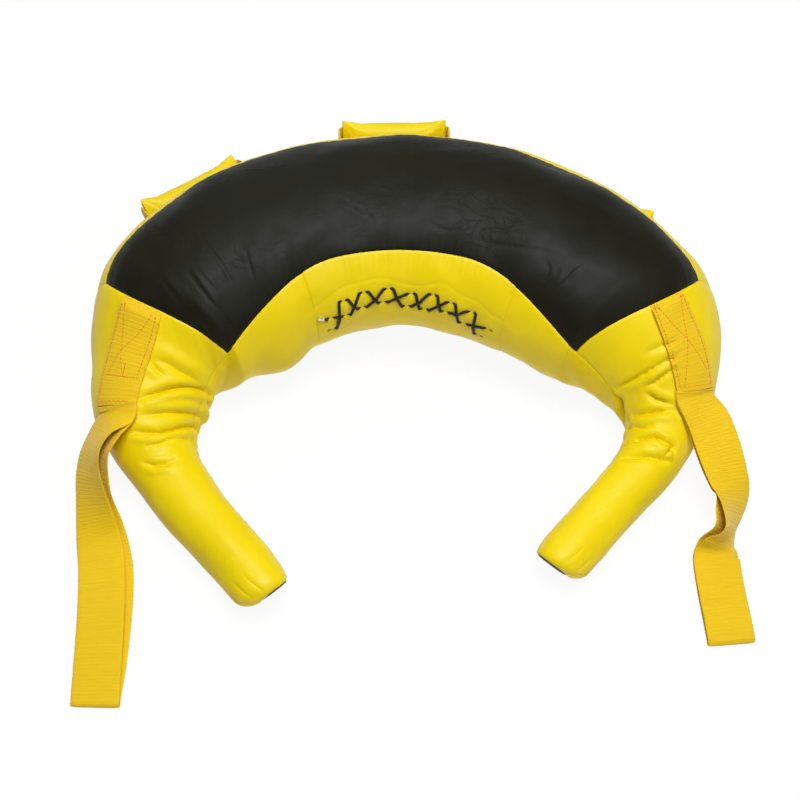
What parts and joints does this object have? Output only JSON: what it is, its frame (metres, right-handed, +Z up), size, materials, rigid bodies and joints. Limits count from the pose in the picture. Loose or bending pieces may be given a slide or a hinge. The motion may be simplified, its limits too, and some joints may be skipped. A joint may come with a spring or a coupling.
{
  "type": "crescent sandbag trainer",
  "caption": "Crescent sandbag trainer: stuffed leather tube with tapered grips, laced filling closure, padded grab handles and free webbing loops.",
  "frame": {"origin": "middle of the bounding box's bottom, on the floor that the bag lies on", "axes": "+Z up, +Y towards the crown of the crescent, -Y towards the two grips, +X towards the right-hand grip's side"},
  "size_m": [0.5948, 0.5926, 0.1528],
  "materials": {
    "leather_yellow": "smooth bright yellow synthetic leather, satin sheen, fine folds",
    "leather_black": "smooth black synthetic leather, satin sheen, fine wrinkles",
    "webbing": "ribbed yellow polyester webbing with orange stitching",
    "lace": "round black woven lace",
    "crimp": "plain crimped metal lace end",
    "canvas": "plain canvas liner filled with sand",
    "foam": "soft closed-cell foam"
  },
  "bodies": {
    "bag": {"back_panel": "leather_black", "back_sleeve_left": "leather_black", "back_sleeve_right": "leather_black", "closure_tongue": "leather_yellow", "end_cap_left": "leather_black", "end_cap_right": "leather_black", "filling_crown": "canvas", "filling_elbow_left": "canvas", "filling_elbow_right": "canvas", "filling_grip_left": "canvas", "filling_grip_right": "canvas", "filling_shoulder_left": "canvas", "filling_shoulder_right": "canvas", "front_panel": "leather_black", "front_sleeve_left": "leather_yellow", "front_sleeve_right": "leather_yellow", "handle_center_patch": "leather_yellow", "handle_left_patch": "leather_yellow", "handle_right_patch": "leather_yellow", "inner_panel_center": "leather_yellow", "inner_panel_left": "leather_yellow", "inner_panel_right": "leather_yellow", "lace": "lace", "lace_tip": "crimp", "outer_panel": "leather_yellow", "strap_left_base": "webbing", "strap_right_base": "webbing"},
    "strap_left": {"strap_left_loop": "webbing"},
    "strap_right": {"strap_right_loop": "webbing"},
    "handle_left": {"handle_left_cover": "leather_yellow", "handle_left_pad": "foam", "handle_left_webbing": "webbing"},
    "handle_center": {"handle_center_cover": "leather_yellow", "handle_center_pad": "foam", "handle_center_webbing": "webbing"},
    "handle_right": {"handle_right_cover": "leather_yellow", "handle_right_pad": "foam", "handle_right_webbing": "webbing"}
  },
  "joints": [
    {"name": "strap_left_hinge", "type": "hinge", "parent": "bag", "child": "strap_left", "pos_m": [-0.2594, -0.04455, 0.07788], "axis": [-0.9107, 0.2061, -0.358], "range_deg": [0, 150]},
    {"name": "strap_right_hinge", "type": "hinge", "parent": "bag", "child": "strap_right", "pos_m": [0.25293, -0.02512, 0.07182], "axis": [-0.9084, -0.3266, 0.2612], "range_deg": [0, 150]},
    {"name": "handle_left_hinge", "type": "hinge", "parent": "bag", "child": "handle_left", "pos_m": [-0.19948, 0.19799, 0.07227], "axis": [0.8327, 0.553, 0.0282], "range_deg": [-33, 107]},
    {"name": "handle_center_hinge", "type": "hinge", "parent": "bag", "child": "handle_center", "pos_m": [-0.01552, 0.25342, 0.07404], "axis": [0.9999, 0.0152, 0.0001], "range_deg": [-55, 85]},
    {"name": "handle_right_hinge", "type": "hinge", "parent": "bag", "child": "handle_right", "pos_m": [0.17899, 0.19842, 0.07233], "axis": [0.8348, -0.5498, -0.0271], "range_deg": [-10, 130]}
  ]
}
